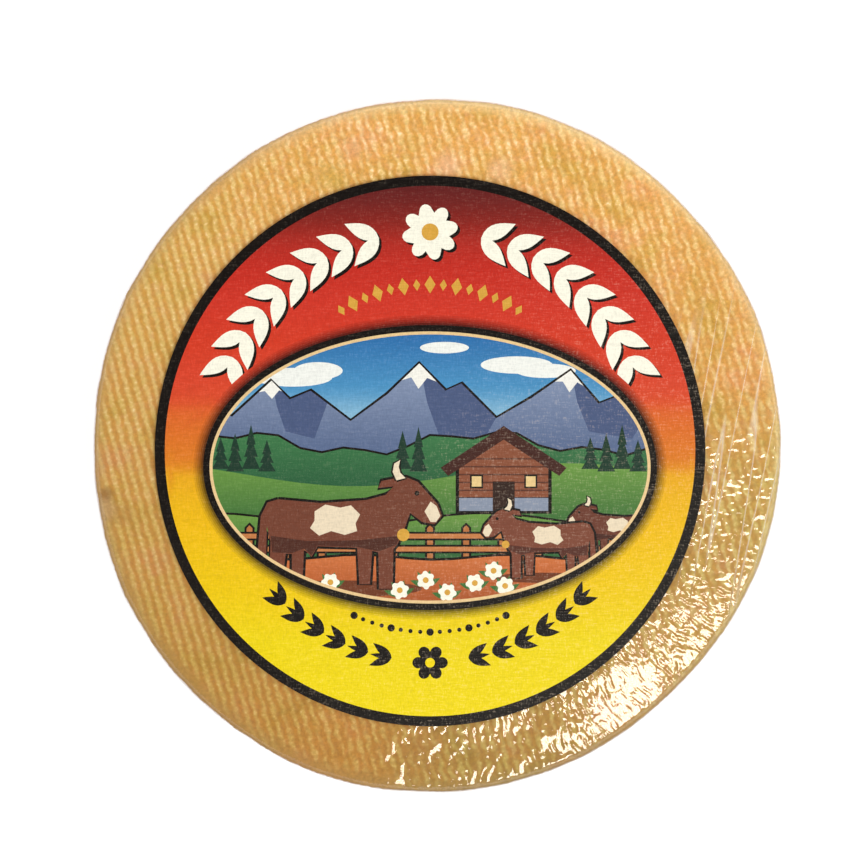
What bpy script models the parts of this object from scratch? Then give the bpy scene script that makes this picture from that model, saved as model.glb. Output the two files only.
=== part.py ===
"""A whole wheel of washed-rind mountain cheese, sealed in tight clear film, with a round paper label.

Metres, +Z up. The origin is under the middle of the wheel, on the surface that it stands on.
"""

import math

import bmesh
import bpy

MM = 0.001

# Wheel
WHEEL_RADIUS = 56.6 * MM
WHEEL_HEIGHT = 80.0 * MM
SHOULDER_RADIUS = 1.3 * MM
SIDE_BULGE = 0.6 * MM
ROUND_STEPS = 96
SHOULDER_STEPS = 5
SIDE_STEPS = 8
MERGE_DISTANCE = 0.01 * MM
SHARP_ANGLE = math.radians(30)

# The wheel isn't truly round. Each lobe is its count round the wheel, its height and its first crest's turn
OUTLINE_LOBES = (
    (2, 0.32 * MM, 70.0),
    (3, 0.17 * MM, 5.0),
    (4, 0.09 * MM, -15.0),
    (5, 0.09 * MM, -5.0),
    (8, 0.08 * MM, -21.0),
)
# The side also has shallow dents: count round the wheel, count up the side, depth and turn
SIDE_DENTS = (
    (3, 1.0, 0.25 * MM, 40.0),
    (5, 2.0, 0.18 * MM, 110.0),
)

# Ribs that the pressing cloth leaves on both flat faces
RIB_PITCH = 1.5 * MM
GROOVE_WIDTH = 0.95 * MM
GROOVE_DEPTH = 0.2 * MM
# A cutting bar is this much larger than its groove, so that its top stands clear of the face
GROOVE_OVERRUN = 1.4
# The bars run past the wheel at both ends
BAR_LENGTH = 2.4 * WHEEL_RADIUS
RIB_LEAN = math.radians(15.5)

# Label
LABEL_RADIUS = 45.0 * MM
LABEL_THICKNESS = 0.3 * MM
LABEL_OFFSET = (-1.3 * MM, -1.06 * MM)
LABEL_STEPS = 96
CLEARANCE = 0.3 * MM


def clear_scene():
    for thing in list(bpy.data.objects):
        bpy.data.objects.remove(thing, do_unlink=True)


def new_collection(name, shown=True):
    collection = bpy.data.collections.new(name)
    collection.hide_render = not shown
    bpy.context.scene.collection.children.link(collection)
    return collection


def new_object(name, mesh, collection):
    thing = bpy.data.objects.new(name, mesh)
    collection.objects.link(thing)
    return thing


def principled(name, colour, roughness, coat=0.0):
    material = bpy.data.materials.new(name)
    material.use_nodes = True
    shader = material.node_tree.nodes["Principled BSDF"]
    shader.inputs["Base Color"].default_value = (*colour, 1.0)
    shader.inputs["Roughness"].default_value = roughness
    shader.inputs["Metallic"].default_value = 0.0
    shader.inputs["Coat Weight"].default_value = coat
    return material


def rind_material():
    return principled("filmed_rind", (0.58, 0.33, 0.11), 0.45, coat=1.0)


def label_material():
    return principled("printed_paper", (0.72, 0.09, 0.03), 0.5)


def quarter_round(centre_x, centre_z, start_angle):
    """Points of a quarter turn of the shoulder, running clockwise from start_angle."""
    points = []
    for step in range(SHOULDER_STEPS + 1):
        angle = start_angle - math.pi / 2 * step / SHOULDER_STEPS
        x = centre_x + SHOULDER_RADIUS * math.cos(angle)
        z = centre_z + SHOULDER_RADIUS * math.sin(angle)
        points.append((x, z))
    return points


def wheel_profile():
    """Half outline of the wheel from the top middle, down the side, to the bottom middle."""
    inner = WHEEL_RADIUS - SHOULDER_RADIUS
    straight = WHEEL_HEIGHT - 2 * SHOULDER_RADIUS
    points = [(0.0, WHEEL_HEIGHT)]
    points += quarter_round(inner, WHEEL_HEIGHT - SHOULDER_RADIUS, math.pi / 2)
    for step in range(1, SIDE_STEPS):
        share = step / SIDE_STEPS
        bulge = SIDE_BULGE * math.sin(math.pi * share)
        points.append((WHEEL_RADIUS + bulge, WHEEL_HEIGHT - SHOULDER_RADIUS - straight * share))
    points += quarter_round(inner, SHOULDER_RADIUS, 0.0)
    points.append((0.0, 0.0))
    return points


def turned_mesh(name, profile, steps):
    """The closed mesh that the profile sweeps when it is turned once about Z."""
    line = bpy.data.meshes.new(name + "_profile")
    corners = [(x, 0.0, z) for x, z in profile]
    edges = [(i, i + 1) for i in range(len(profile) - 1)]
    line.from_pydata(corners, edges, [])
    holder = new_object(name + "_profile", line, bpy.context.scene.collection)
    screw = holder.modifiers.new("Turn", "SCREW")
    screw.axis = "Z"
    screw.steps = screw.render_steps = steps
    screw.use_merge_vertices = True
    screw.merge_threshold = MERGE_DISTANCE
    evaluated = holder.evaluated_get(bpy.context.evaluated_depsgraph_get())
    mesh = bpy.data.meshes.new_from_object(evaluated)
    mesh.name = name
    bpy.data.objects.remove(holder, do_unlink=True)
    return mesh


def outline_height(angle):
    """How far the outline stands out from a true circle at this angle round the wheel."""
    return sum(
        height * math.cos(count * (angle - math.radians(turn)))
        for count, height, turn in OUTLINE_LOBES
    )


def dent_depth(angle, share):
    """How far the side is pressed in at this angle and at this share of the height."""
    return sum(
        depth * math.cos(round_count * (angle - math.radians(turn))) * math.sin(math.pi * up_count * share)
        for round_count, up_count, depth, turn in SIDE_DENTS
    )


def press_out_of_round(mesh):
    """Moves each point in or out along its radius, so that the wheel is as uneven as a pressed cheese."""
    for vertex in mesh.vertices:
        radius = math.hypot(vertex.co.x, vertex.co.y)
        if radius < SHOULDER_RADIUS:
            continue
        angle = math.atan2(vertex.co.y, vertex.co.x)
        moved = outline_height(angle) - dent_depth(angle, vertex.co.z / WHEEL_HEIGHT)
        grown = 1.0 + moved / WHEEL_RADIUS
        vertex.co.x *= grown
        vertex.co.y *= grown


def centre_on_origin(mesh):
    """Shifts the mesh so that the middle of its outline is over the origin."""
    low_x = min(vertex.co.x for vertex in mesh.vertices)
    high_x = max(vertex.co.x for vertex in mesh.vertices)
    low_y = min(vertex.co.y for vertex in mesh.vertices)
    high_y = max(vertex.co.y for vertex in mesh.vertices)
    for vertex in mesh.vertices:
        vertex.co.x -= (low_x + high_x) / 2
        vertex.co.y -= (low_y + high_y) / 2


def groove_cutter(name, height, upwards, collection):
    """A row of long V-shaped bars that cut the cloth grooves into the flat face at this height."""
    count = 2 * round(WHEEL_RADIUS / RIB_PITCH)
    first = -(count - 1) / 2 * RIB_PITCH
    mesh = bpy.data.meshes.new(name)
    bar = bmesh.new()
    bmesh.ops.create_cone(bar, cap_ends=True, segments=3, radius1=1.0, radius2=1.0, depth=BAR_LENGTH)
    # Of the primitive's three corners, the top one is turned into the cheese, and the bar is laid along Y
    apex = max(corner.co.y for corner in bar.verts)
    base = min(corner.co.y for corner in bar.verts)
    half_base = max(corner.co.x for corner in bar.verts)
    for corner in bar.verts:
        across = corner.co.x / half_base * GROOVE_WIDTH / 2 * GROOVE_OVERRUN
        up = (apex - corner.co.y) / (apex - base) * GROOVE_DEPTH * GROOVE_OVERRUN - GROOVE_DEPTH
        corner.co = (across + first, corner.co.z, up if upwards else -up)
    bmesh.ops.recalc_face_normals(bar, faces=bar.faces)
    bar.to_mesh(mesh)
    bar.free()
    cutter = new_object(name, mesh, collection)
    cutter.location = (0.0, 0.0, height)
    cutter.rotation_euler = (0.0, 0.0, RIB_LEAN)
    cutter.hide_render = True
    cutter.display_type = "WIRE"
    row = cutter.modifiers.new("Row", "ARRAY")
    row.count = count
    row.use_relative_offset = False
    row.use_constant_offset = True
    row.constant_offset_displace = (RIB_PITCH, 0.0, 0.0)
    return cutter


def smooth_round(mesh):
    mesh.shade_smooth()
    mesh.set_sharp_from_angle(angle=SHARP_ANGLE)


def build_wheel(parts, cutters):
    """The cheese in its film: one solid out to the film, which lies tight on the rind."""
    mesh = turned_mesh("wrapped_cheese", wheel_profile(), ROUND_STEPS)
    press_out_of_round(mesh)
    centre_on_origin(mesh)
    smooth_round(mesh)
    mesh.materials.append(rind_material())
    wheel = new_object("wrapped_cheese", mesh, parts)
    for name, height, upwards in (("top_grooves", WHEEL_HEIGHT, True), ("bottom_grooves", 0.0, False)):
        cut = wheel.modifiers.new(name, "BOOLEAN")
        cut.operation = "DIFFERENCE"
        cut.solver = "EXACT"
        cut.object = groove_cutter(name, height, upwards, cutters)
    return wheel


def build_label(parts):
    """The paper disc, which lies on the film a little off the middle of the wheel."""
    mesh = bpy.data.meshes.new("label")
    disc = bmesh.new()
    bmesh.ops.create_cone(
        disc,
        cap_ends=True,
        segments=LABEL_STEPS,
        radius1=LABEL_RADIUS,
        radius2=LABEL_RADIUS,
        depth=LABEL_THICKNESS,
    )
    disc.to_mesh(mesh)
    disc.free()
    smooth_round(mesh)
    mesh.materials.append(label_material())
    label = new_object("label", mesh, parts)
    label.location = (*LABEL_OFFSET, WHEEL_HEIGHT + CLEARANCE + LABEL_THICKNESS / 2)
    return label


def main():
    clear_scene()
    parts = new_collection("tete_de_moine_cheese")
    cutters = new_collection("cutters", shown=False)
    build_wheel(parts, cutters)
    build_label(parts)


main()
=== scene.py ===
import math

import bmesh
import bpy
import numpy as np
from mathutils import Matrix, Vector
from mathutils.geometry import delaunay_2d_cdt


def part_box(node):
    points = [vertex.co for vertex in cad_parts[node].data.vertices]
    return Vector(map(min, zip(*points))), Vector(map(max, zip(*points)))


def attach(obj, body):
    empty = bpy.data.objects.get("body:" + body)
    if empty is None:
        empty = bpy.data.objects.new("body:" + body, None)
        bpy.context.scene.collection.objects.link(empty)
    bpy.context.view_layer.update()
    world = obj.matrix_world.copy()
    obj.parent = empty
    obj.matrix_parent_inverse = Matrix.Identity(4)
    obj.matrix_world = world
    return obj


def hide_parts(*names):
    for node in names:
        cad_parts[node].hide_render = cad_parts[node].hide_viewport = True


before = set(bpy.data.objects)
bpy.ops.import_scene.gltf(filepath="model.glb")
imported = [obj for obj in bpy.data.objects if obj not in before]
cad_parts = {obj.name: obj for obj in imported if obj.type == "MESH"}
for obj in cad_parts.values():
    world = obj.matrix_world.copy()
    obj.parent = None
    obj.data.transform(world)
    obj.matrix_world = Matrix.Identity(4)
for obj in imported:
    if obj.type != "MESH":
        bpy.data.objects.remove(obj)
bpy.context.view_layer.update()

mm = 0.001
cheeseLow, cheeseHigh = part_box("wrapped_cheese")
labelLow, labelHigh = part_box("label")
wheelHeight = cheeseHigh.z - cheeseLow.z
labelRadius = (labelHigh.x - labelLow.x) / 2
labelMiddle = ((labelLow.x + labelHigh.x) / 2, (labelLow.y + labelHigh.y) / 2)

# The photo looks straight down, so its pixels map to places on top of the wheel
photo = {
    "side": 850,
    "pixel": 0.16346 * mm,          # at the height of the label
    "wheelMiddle": (438.0, 444.5),  # the pixel over the wheel's axis
}


def fromPhoto(px, py):
    middleX, middleY = photo["wheelMiddle"]
    return (px - middleX) * photo["pixel"], (middleY - py) * photo["pixel"]


def ink(code):  # sRGB hex to linear RGBA
    shares = [int(code[i:i + 2], 16) / 255 for i in (1, 3, 5)]
    return (*[s / 12.92 if s <= 0.04045 else ((s + 0.055) / 1.055) ** 2.4 for s in shares], 1.0)


def perMetre(size):  # texture scale whose cells are this wide
    return 1.0 / size


# Adds a node, sets its properties, fills or links its inputs and colours its ramp
def addNode(tree, kind, inputs=(), stops=(), **settings):
    node = tree.nodes.new(kind)
    for key, value in settings.items():
        setattr(node, key, value)
    for key, value in dict(inputs).items():
        named = [s for s in node.inputs if s.name == key and s.enabled]
        socket = node.inputs[key] if isinstance(key, int) else named[0]
        if isinstance(value, bpy.types.Node):
            value = [s for s in value.outputs if s.enabled][0]
        if isinstance(value, bpy.types.NodeSocket):
            tree.links.new(value, socket)
        else:
            socket.default_value = value
    if stops:
        bands = node.color_ramp.elements
        while len(bands) < len(stops):
            bands.new(0.5)
        for band, (place, colour) in zip(bands, stops):
            band.position = place
            band.color = ink(colour)
    return node


def newMaterial(name):
    material = bpy.data.materials.new(name)
    material.use_nodes = True
    material.node_tree.nodes.clear()
    return material, material.node_tree


def newPiece(name, mesh, *materials):
    mesh.name = name
    piece = bpy.data.objects.new(name, mesh)
    bpy.context.scene.collection.objects.link(piece)
    for material in materials:
        mesh.materials.append(material)
    return piece


# A Geometry Nodes tree with these named inputs: returns the tree and its inputs by name
def newTree(name, names):
    tree = bpy.data.node_groups.new(name, "GeometryNodeTree")
    tree.interface.new_socket("Geometry", in_out="INPUT", socket_type="NodeSocketGeometry")
    tree.interface.new_socket("Geometry", in_out="OUTPUT", socket_type="NodeSocketGeometry")
    for item in names:
        tree.interface.new_socket(item, in_out="INPUT", socket_type="NodeSocketFloat")
    return tree, addNode(tree, "NodeGroupInput").outputs


def endTree(tree, geometry, material):
    whole = addNode(tree, "GeometryNodeRealizeInstances", {"Geometry": geometry})
    painted = addNode(tree, "GeometryNodeSetMaterial", {"Geometry": whole, "Material": material})
    addNode(tree, "NodeGroupOutput", {"Geometry": painted})


# Runs the tree on the piece with these values and keeps the result as its plain mesh
def runTree(piece, tree, values):
    step = piece.modifiers.new(tree.name, "NODES")
    step.node_group = tree
    for item in tree.interface.items_tree:
        if item.in_out == "INPUT" and item.name in values:
            step[item.identifier] = values[item.name]
    ready = piece.evaluated_get(bpy.context.evaluated_depsgraph_get())
    mesh = bpy.data.meshes.new_from_object(ready)
    old = piece.data
    piece.modifiers.remove(step)
    piece.data = mesh
    bpy.data.meshes.remove(old)
    mesh.name = piece.name


# The wheel's form, as in the solids
wheel = {
    "radius": 56.6 * mm,
    "shoulder": 1.3 * mm,
    "sideBulge": 0.6 * mm,
    "lobes": (  # count round the wheel, height, turn of the first crest
        (2, 0.32 * mm, 70.0),
        (3, 0.17 * mm, 5.0),
        (4, 0.09 * mm, -15.0),
        (5, 0.09 * mm, -5.0),
        (8, 0.08 * mm, -21.0),
    ),
    "dents": (  # count round the wheel, count up the side, depth, turn
        (3, 1.0, 0.25 * mm, 40.0),
        (5, 2.0, 0.18 * mm, 110.0),
    ),
}


def outOfRound(angles, share):
    out = np.zeros_like(angles)
    for count, height, turn in wheel["lobes"]:
        out += height * np.cos(count * (angles - math.radians(turn)))
    for count, upCount, depth, turn in wheel["dents"]:
        up = math.sin(math.pi * upCount * share)
        out -= depth * np.cos(count * (angles - math.radians(turn))) * up
    return out


def wheelProfile(layout, inset):
    inner = wheel["radius"] - wheel["shoulder"]
    bend = wheel["shoulder"] - inset
    straight = wheelHeight - 2 * wheel["shoulder"]
    spots = []
    for step in range(layout["topRings"]):
        reach = layout["openFrom"] + (inner - layout["openFrom"]) * step / layout["topRings"]
        spots.append((reach, wheelHeight - inset))
    for step in range(layout["shoulderRings"]):
        angle = math.pi / 2 * step / layout["shoulderRings"]
        z = wheelHeight - wheel["shoulder"] + bend * math.cos(angle)
        spots.append((inner + bend * math.sin(angle), z))
    for step in range(layout["sideRings"]):
        share = step / layout["sideRings"]
        reach = inner + bend + wheel["sideBulge"] * math.sin(math.pi * share)
        spots.append((reach, wheelHeight - wheel["shoulder"] - straight * share))
    for step in range(layout["footRings"] + 1):
        angle = math.pi / 2 * step / layout["footRings"]
        spots.append((inner + bend * math.cos(angle), wheel["shoulder"] - bend * math.sin(angle)))
    return spots


# A closed drum: rings down the profile, and each flat face filled by rows that run along the cloth ribs
def wheelMesh(name, layout, inset, angles):
    count = len(angles)
    half = count // 2
    rings = []
    for reach, z in wheelProfile(layout, inset):
        grown = reach * (1 + outOfRound(angles, z / wheelHeight) / wheel["radius"])
        rings.append(np.stack([grown * np.cos(angles), grown * np.sin(angles), np.full(count, z)], 1))
    points = [np.concatenate(rings)]
    faces = []
    for ring in range(len(rings) - 1):
        for j in range(count):
            a, b = ring * count + j, ring * count + (j + 1) % count
            faces.append((a, a + count, b + count, b))
    total = len(points[0])
    for first, rows, upwards in ((0, layout["topRows"], True), (total - count, layout["footRows"], False)):
        rim = points[0][first:first + count]
        shares = np.arange(1, rows)[None, :, None] / rows
        near, far = rim[1:half][:, None], rim[:half:-1][:, None]
        filled = (near * (1 - shares) + far * shares).reshape(-1, 3)
        start = sum(len(p) for p in points)
        points.append(filled)

        def spot(j, k):
            if j in (0, half):
                return first + j
            if k in (0, rows):
                return first + (j if k == 0 else count - j)
            return start + (j - 1) * (rows - 1) + k - 1

        for j in range(half):
            for k in range(rows):
                corners = [spot(j, k), spot(j + 1, k), spot(j + 1, k + 1), spot(j, k + 1)]
                corners = list(dict.fromkeys(corners))
                faces.append(corners if upwards else corners[::-1])
    places = np.concatenate(points)
    outline = places[:total]
    places[:, :2] -= (outline[:, :2].min(0) + outline[:, :2].max(0)) / 2
    mesh = bpy.data.meshes.new(name)
    mesh.from_pydata(places.tolist(), [], faces)
    mesh.shade_smooth()
    return mesh


# A side of the wheel: its turn, and how far from it its mark is gone and is full
def side(turn, none, full):
    return {"turn": math.radians(turn), "none": math.radians(none), "full": math.radians(full)}


# The rim is pressed a little lower on one side, where the film over it went slack and crumpled
slump = {
    "side": side(-47.5, 24, 2),
    "reach": (44.5 * mm, 56.5 * mm),
    "steepening": 1.4,
    "depth": 0.9 * mm,
    "lumpSize": 7 * mm,
    "lumpsSunk": 0.62,  # above the noise's middle, so that the lumps stay inside the solid
    "unevenness": 0.5 * mm,
    "calmed": 0.25,
    "upTo": (wheelHeight - 16 * mm, wheelHeight - 4 * mm),
}


# A place as seen from the wheel's axis: which way it lies, and how far out
def fromAxis(tree, here):
    level = addNode(tree, "ShaderNodeVectorMath", {0: here, 1: (1.0, 1.0, 0.0)}, operation="MULTIPLY")
    outwards = addNode(tree, "ShaderNodeVectorMath", {0: level}, operation="NORMALIZE")
    reach = addNode(tree, "ShaderNodeVectorMath", {0: level}, operation="LENGTH").outputs["Value"]
    return outwards, reach


# How far a place belongs to one side of the wheel: 0 at the first turn away from it, 1 from the second on
def sideShare(tree, here, place):
    outwards, _ = fromAxis(tree, here)
    towards = (math.cos(place["turn"]), math.sin(place["turn"]), 0.0)
    near = addNode(tree, "ShaderNodeVectorMath", {0: outwards, 1: towards}, operation="DOT_PRODUCT")
    return addNode(tree, "ShaderNodeMapRange", {
        "Value": near.outputs["Value"],
        "From Min": math.cos(place["none"]), "From Max": math.cos(place["full"])},
        interpolation_type="SMOOTHSTEP")


# Shallow lumps all over, and the slumped side moved down: the same for the rind and its film
def slumped(tree, here, facing, geometry, size):
    lumps = addNode(tree, "ShaderNodeTexNoise", {
        "Vector": here, "Scale": perMetre(slump["lumpSize"]), "Detail": 1.0})
    lumps = addNode(tree, "ShaderNodeMath", {0: lumps, 1: slump["lumpsSunk"]}, operation="SUBTRACT")
    lumps = addNode(tree, "ShaderNodeMath", {0: lumps, 1: size["unevenness"]}, operation="MULTIPLY")
    # The slumped side itself is smoother
    slack = sideShare(tree, here, slump["side"])
    calmed = addNode(tree, "ShaderNodeMapRange", {"Value": slack, "To Min": 1.0, "To Max": slump["calmed"]})
    lumps = addNode(tree, "ShaderNodeMath", {0: lumps, 1: calmed}, operation="MULTIPLY")
    lumps = addNode(tree, "ShaderNodeVectorMath", {0: facing, "Scale": lumps}, operation="SCALE")
    _, reach = fromAxis(tree, here)
    out = addNode(tree, "ShaderNodeMapRange", {
        "Value": reach, "From Min": slump["reach"][0], "From Max": slump["reach"][1]})
    out = addNode(tree, "ShaderNodeMath", {0: out, 1: slump["steepening"]}, operation="POWER")
    apart = addNode(tree, "ShaderNodeSeparateXYZ", {"Vector": here})
    high = addNode(tree, "ShaderNodeMapRange", {
        "Value": apart.outputs["Z"], "From Min": slump["upTo"][0], "From Max": slump["upTo"][1]},
        interpolation_type="SMOOTHSTEP")
    share = addNode(tree, "ShaderNodeMath", {0: slack, 1: out}, operation="MULTIPLY")
    share = addNode(tree, "ShaderNodeMath", {0: share, 1: high}, operation="MULTIPLY")
    fall = addNode(tree, "ShaderNodeMath", {0: share, 1: size["slumpDepth"]}, operation="MULTIPLY")
    fall = addNode(tree, "ShaderNodeMath", {0: fall, 1: -1.0}, operation="MULTIPLY")
    down = addNode(tree, "ShaderNodeCombineXYZ", {"Z": fall})
    offset = addNode(tree, "ShaderNodeVectorMath", {0: lumps, 1: down}, operation="ADD")
    return addNode(tree, "GeometryNodeSetPosition", {"Geometry": geometry, "Offset": offset})


# Marks of the pressing cloth: ribs on both flat faces and up the side, which cross threads break into beads
cloth = {
    "ribPitch": 1.5 * mm,
    "ribLean": math.radians(15.5),
    "ribWander": 0.62 * mm,
    "beadPitch": 1.15 * mm,
    "sideReach": 236 * 1.5 * mm / (2 * math.pi),  # 236 whole ribs go round the side
    "fadeStart": 55.2 * mm,
    "fadeEnd": 57.2 * mm,
}
# What bends the ribs and presses them unevenly
clothNoise = {
    "bendSize": 7 * mm,
    "zigzagSize": 1.5 * mm,
    "zigzagShare": 1.9,
    "sideWander": 2.2,
    "pressSize": 2.4 * mm,
    "raggedBy": 7 * mm,
    "evenSide": side(184, 72, 34),  # here the ribs are straighter and more evenly pressed
    "evenWander": 0.42,
    "evenPress": 0.82,
    "beadShare": 0.13,
    "beadWander": 3.0,
}


# The cloth pattern in a tree: rib height on the flat faces and on the side, and where the faces have ribs
def clothPattern(tree, here, facing, size):
    ways = addNode(tree, "ShaderNodeSeparateXYZ", {"Vector": facing})
    flatness = addNode(tree, "ShaderNodeMath", {0: ways.outputs["Z"]}, operation="ABSOLUTE")
    apart = addNode(tree, "ShaderNodeSeparateXYZ", {"Vector": here})
    # Ribs wander from their straight line, in long bends and in a short zigzag
    slow = addNode(tree, "ShaderNodeTexNoise", {
        "Vector": here, "Scale": perMetre(clothNoise["bendSize"]), "Detail": 1.0})
    quick = addNode(tree, "ShaderNodeTexNoise", {
        "Vector": here, "Scale": perMetre(clothNoise["zigzagSize"]), "Detail": 0.0})
    zigzag = clothNoise["zigzagShare"]
    bend = addNode(tree, "ShaderNodeMath", {0: quick, 1: zigzag, 2: slow}, operation="MULTIPLY_ADD")
    bend = addNode(tree, "ShaderNodeMath", {0: bend, 1: (1 + zigzag) / 2}, operation="SUBTRACT")
    wander = addNode(tree, "ShaderNodeMath", {0: bend, 1: size["ribWander"]}, operation="MULTIPLY")
    even = sideShare(tree, here, clothNoise["evenSide"])
    even = addNode(tree, "ShaderNodeMath", {0: even, 1: flatness}, operation="MULTIPLY")
    wandering = addNode(tree, "ShaderNodeMapRange", {
        "Value": even, "To Min": 1.0, "To Max": clothNoise["evenWander"]})
    wander = addNode(tree, "ShaderNodeMath", {0: wander, 1: wandering}, operation="MULTIPLY")
    lean = addNode(tree, "ShaderNodeMath", {0: size["ribLean"], 1: -1.0}, operation="MULTIPLY")
    turned = addNode(tree, "ShaderNodeVectorRotate", {"Vector": here, "Angle": lean}, rotation_type="Z_AXIS")
    turnedApart = addNode(tree, "ShaderNodeSeparateXYZ", {"Vector": turned})
    faceAcross = addNode(tree, "ShaderNodeMath", {0: turnedApart.outputs["X"], 1: wander}, operation="ADD")
    angle = addNode(
        tree, "ShaderNodeMath", {0: apart.outputs["Y"], 1: apart.outputs["X"]}, operation="ARCTAN2")
    sideWander = addNode(
        tree, "ShaderNodeMath", {0: wander, 1: clothNoise["sideWander"]}, operation="MULTIPLY")
    sideAcross = addNode(
        tree, "ShaderNodeMath", {0: angle, 1: size["sideReach"], 2: sideWander}, operation="MULTIPLY_ADD")
    # The cloth pressed harder in some spots than in others
    pressed = addNode(tree, "ShaderNodeTexNoise", {
        "Vector": here, "Scale": perMetre(clothNoise["pressSize"]), "Detail": 2.0})
    pressed = addNode(tree, "ShaderNodeMapRange", {
        "Value": pressed, "From Min": 0.36, "From Max": 0.64, "To Min": 0.3, "To Max": 1.0})
    pressed = addNode(tree, "ShaderNodeMix", {"Factor": even, "A": pressed, "B": clothNoise["evenPress"]})
    # They fade out at the rim, along a ragged line
    _, reach = fromAxis(tree, here)
    by = clothNoise["raggedBy"]
    ragged = addNode(tree, "ShaderNodeMath", {0: slow, 1: by, 2: reach}, operation="MULTIPLY_ADD")
    ragged = addNode(tree, "ShaderNodeMath", {0: ragged, 1: by / 2}, operation="SUBTRACT")
    fade = addNode(tree, "ShaderNodeMapRange", {
        "Value": ragged, "From Min": size["fadeStart"], "From Max": size["fadeEnd"],
        "To Min": 1.0, "To Max": 0.0}, interpolation_type="SMOOTHSTEP")
    onFace = addNode(tree, "ShaderNodeMapRange", {
        "Value": flatness, "From Min": 0.6, "From Max": 0.95}, interpolation_type="SMOOTHSTEP")
    onSide = addNode(tree, "ShaderNodeMapRange", {
        "Value": flatness, "From Min": 0.5, "From Max": 0.1}, interpolation_type="SMOOTHSTEP")
    onFace = addNode(tree, "ShaderNodeMath", {0: fade, 1: onFace}, operation="MULTIPLY")
    ribs = []
    beads = clothNoise["beadShare"]
    for across, along, shown in (
            (faceAcross, turnedApart.outputs["Y"], onFace), (sideAcross, apart.outputs["Z"], onSide)):
        turns = addNode(tree, "ShaderNodeMath", {0: across, 1: size["ribPitch"]}, operation="DIVIDE")
        phase = addNode(tree, "ShaderNodeMath", {0: turns, 1: 2 * math.pi}, operation="MULTIPLY")
        swing = addNode(tree, "ShaderNodeMath", {0: phase}, operation="COSINE")
        wave = addNode(tree, "ShaderNodeMath", {0: swing, 1: 0.5, 2: 0.5}, operation="MULTIPLY_ADD")
        # Beads of neighbouring ribs lie half a pitch apart, as in a plain weave
        row = addNode(tree, "ShaderNodeMath", {0: turns}, operation="ROUND")
        beadTurns = addNode(tree, "ShaderNodeMath", {0: along, 1: size["beadPitch"]}, operation="DIVIDE")
        for part, share in ((row, 0.5), (slow, clothNoise["beadWander"])):
            beadTurns = addNode(
                tree, "ShaderNodeMath", {0: part, 1: share, 2: beadTurns}, operation="MULTIPLY_ADD")
        beadPhase = addNode(tree, "ShaderNodeMath", {0: beadTurns, 1: 2 * math.pi}, operation="MULTIPLY")
        beadSwing = addNode(tree, "ShaderNodeMath", {0: beadPhase}, operation="COSINE")
        bead = addNode(
            tree, "ShaderNodeMath", {0: beadSwing, 1: beads, 2: 1 - beads}, operation="MULTIPLY_ADD")
        rib = addNode(tree, "ShaderNodeMath", {0: wave, 1: bead}, operation="MULTIPLY")
        rib = addNode(tree, "ShaderNodeMath", {0: rib, 1: pressed}, operation="MULTIPLY")
        ribs.append(addNode(tree, "ShaderNodeMath", {0: rib, 1: shown}, operation="MULTIPLY"))
    return ribs[0], ribs[1], onFace


# Rind: washed natural rind of a pressed cheese
rind = {
    "inset": 0.22 * mm,  # how far it lies under the film
    "layout": {
        "openFrom": 42.5 * mm, "topRings": 32, "shoulderRings": 16,
        "sideRings": 26, "footRings": 10, "topRows": 4, "footRows": 36,
    },
    "steps": 944,
    "relief": {
        **cloth,
        "ribDepth": 0.18 * mm,
        "sideRibDepth": 0.14 * mm,
        "lumpSize": 3.2 * mm,
        "lumpDepth": 0.16 * mm,
        "grainSize": 0.8 * mm,
        "grainDepth": 0.06 * mm,
        "slumpDepth": slump["depth"],
        "unevenness": slump["unevenness"],
    },
    "patchSize": 8 * mm,
    "mealSize": 0.55 * mm,
    "mealDepth": 0.12 * mm,
    "smearSize": 1.9 * mm,
    "cloudSize": 13 * mm,
    "rimReach": (53.8 * mm, 56.4 * mm),
    "rimShare": 0.68,
    # side where the edge is painted paler, as a painted highlight
    "paintedLitSide": side(38, 100, 40),
    # Stains, and one painted shadow of film folds: pixel of the photo, half width, colour and strength
    "stainsAndShade": (
        ((106, 494), 1.1 * mm, "#a8743c", 0.75),
        ((105, 510), 1.6 * mm, "#d8ad88", 0.6),
        ((122, 515), 1.6 * mm, "#cf9452", 0.4),
        ((448, 166), 2.4 * mm, "#f2bd92", 0.5),
        ((500, 170), 2.0 * mm, "#f2bc8e", 0.45),
        ((330, 178), 2.6 * mm, "#dab050", 0.45),
        ((352, 148), 2.0 * mm, "#e6a57a", 0.35),
        # painted shade of the film's folds over the rind
        ((735, 452), 2.0 * mm, "#d2962e", 0.5),
        ((728, 380), 1.8 * mm, "#e5934e", 0.4),
        ((420, 752), 3.2 * mm, "#cf953f", 0.4),
        ((566, 766), 2.2 * mm, "#d58f3a", 0.4),
        ((719, 321), 0.16 * mm, "#2e2418", 0.95),
        ((577, 147), 0.14 * mm, "#5a4020", 0.8),
        ((590, 121), 0.13 * mm, "#5a4020", 0.8),
        ((692, 284), 0.13 * mm, "#5a4426", 0.8),
    ),
}


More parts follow.
